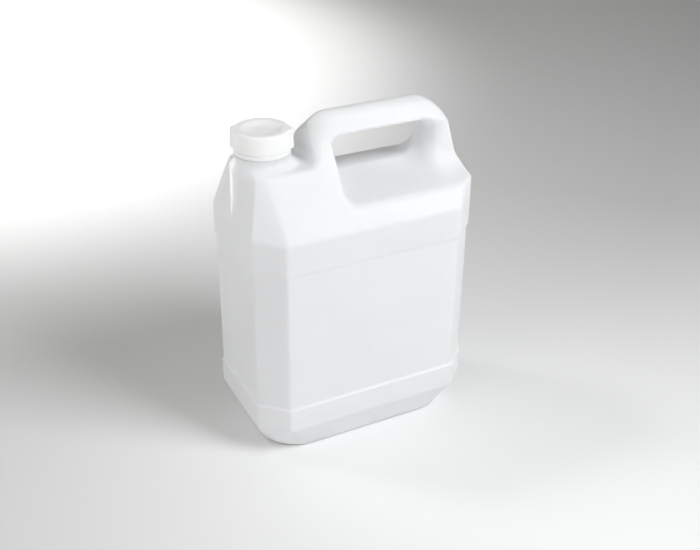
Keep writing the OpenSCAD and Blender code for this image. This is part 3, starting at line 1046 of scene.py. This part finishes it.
class JERRYCAN_OT_can(bpy.types.Operator):
    """Builds the moulded can: both sides of its wall, the threaded neck and the parting line's fin"""

    bl_idname = "jerrycan.can"
    bl_label = "Can"

    def execute(self, context):
        sizes = context.scene.jerrycan_sizes
        finish = context.scene.jerrycan_finish
        outer, outer_faces, outer_ring = skin(sizes, 0.0, OUTER_MESH)
        inner, inner_faces, inner_ring = skin(sizes, sizes.wall, INNER_MESH)
        neck = neck_rows(sizes)
        fin = parting_fin()
        points = np.concatenate([outer, inner, neck.reshape(-1, 3), fin.reshape(-1, 3)])
        shift = len(outer)
        faces = outer_faces + [f[:, ::-1] + shift for f in inner_faces]
        start = shift + len(inner)
        rows, columns = neck.shape[:2]
        first = start + np.arange(columns)
        last = first + (rows - 1) * columns
        centre = (NECK_X, 0.0)
        faces += [
            grid_quads(rows, columns, start),
            zipper(points, outer_ring, first, centre),
            zipper(points, last, inner_ring + shift, centre),
        ]
        start += rows * columns
        rows, columns = fin.shape[:2]
        first = start + np.arange(columns)
        last = first + (rows - 1) * columns
        faces += [grid_quads(rows, columns, start)[:, ::-1], first[None], last[None, ::-1]]
        material = plastic(
            "can_plastic",
            finish.can_colour,
            finish.can_dull,
            rough=0.52,
            scatter=0.8,
            reach=0.012,
            bump=0.06,
            seam=0.8,
        )
        piece = make_piece("can_shell", points, faces, material)
        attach(piece, "can")
        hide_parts("can_body")
        return {"FINISHED"}


class JERRYCAN_OT_closure(bpy.types.Operator):
    """Builds the screw cap, the tamper ring under it and the sealing wad inside it"""

    bl_idname = "jerrycan.closure"
    bl_label = "Closure"

    def execute(self, context):
        sizes = context.scene.jerrycan_sizes
        finish = context.scene.jerrycan_finish
        cap_look = {"rough": 0.42, "scatter": 0.15, "reach": 0.004, "bump": 0.08}
        cap_plastic = plastic("cap_plastic", finish.cap_colour, finish.cap_dull, **cap_look)
        cap = make_piece("cap_shell", *lidded(cap_rows(sizes)), cap_plastic)
        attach(cap, "cap")
        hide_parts("screw_cap")
        ring = make_piece("tamper_band", *looped(band_rows()), cap_plastic)
        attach(ring, "can")
        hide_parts("tamper_ring")
        foam_look = {"rough": 0.8, "scatter": 0.1, "reach": 0.004, "bump": 0.5}
        foam = plastic("wad_foam", finish.wad_colour, finish.wad_colour, **foam_look)
        wad = make_piece("liner_disc", *lidded(wad_rows()), foam)
        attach(wad, "wad")
        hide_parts("sealing_wad")
        return {"FINISHED"}


class JERRYCAN_PT_panel(bpy.types.Panel):
    """Lists the can's operators and sizes in the sidebar"""

    bl_idname = "JERRYCAN_PT_panel"
    bl_label = "Jerrycan"
    bl_space_type = "VIEW_3D"
    bl_region_type = "UI"
    bl_category = "Jerrycan"

    def draw(self, context):
        scene = context.scene
        for group in (scene.jerrycan_sizes, scene.jerrycan_finish, scene.jerrycan_stage):
            for key in group.__annotations__:
                self.layout.prop(group, key)
        for name in ("jerrycan.stage", "jerrycan.can", "jerrycan.closure"):
            self.layout.operator(name)


CLASSES = (
    JERRYCAN_PG_sizes,
    JERRYCAN_PG_finish,
    JERRYCAN_PG_stage,
    JERRYCAN_OT_stage,
    JERRYCAN_OT_can,
    JERRYCAN_OT_closure,
    JERRYCAN_PT_panel,
)


def register():
    """Registers the classes and puts the property groups on the scene."""
    for cls in CLASSES:
        bpy.utils.register_class(cls)
    bpy.types.Scene.jerrycan_sizes = bpy.props.PointerProperty(type=JERRYCAN_PG_sizes)
    bpy.types.Scene.jerrycan_finish = bpy.props.PointerProperty(type=JERRYCAN_PG_finish)
    bpy.types.Scene.jerrycan_stage = bpy.props.PointerProperty(type=JERRYCAN_PG_stage)


def unregister():
    """Takes the property groups off the scene and removes the classes."""
    for name in ("jerrycan_sizes", "jerrycan_finish", "jerrycan_stage"):
        delattr(bpy.types.Scene, name)
    for cls in reversed(CLASSES):
        bpy.utils.unregister_class(cls)


def main():
    """Builds the stage and all pieces."""
    register()
    bpy.ops.jerrycan.stage()
    bpy.ops.jerrycan.can()
    bpy.ops.jerrycan.closure()


if __name__ == "__main__":
    main()
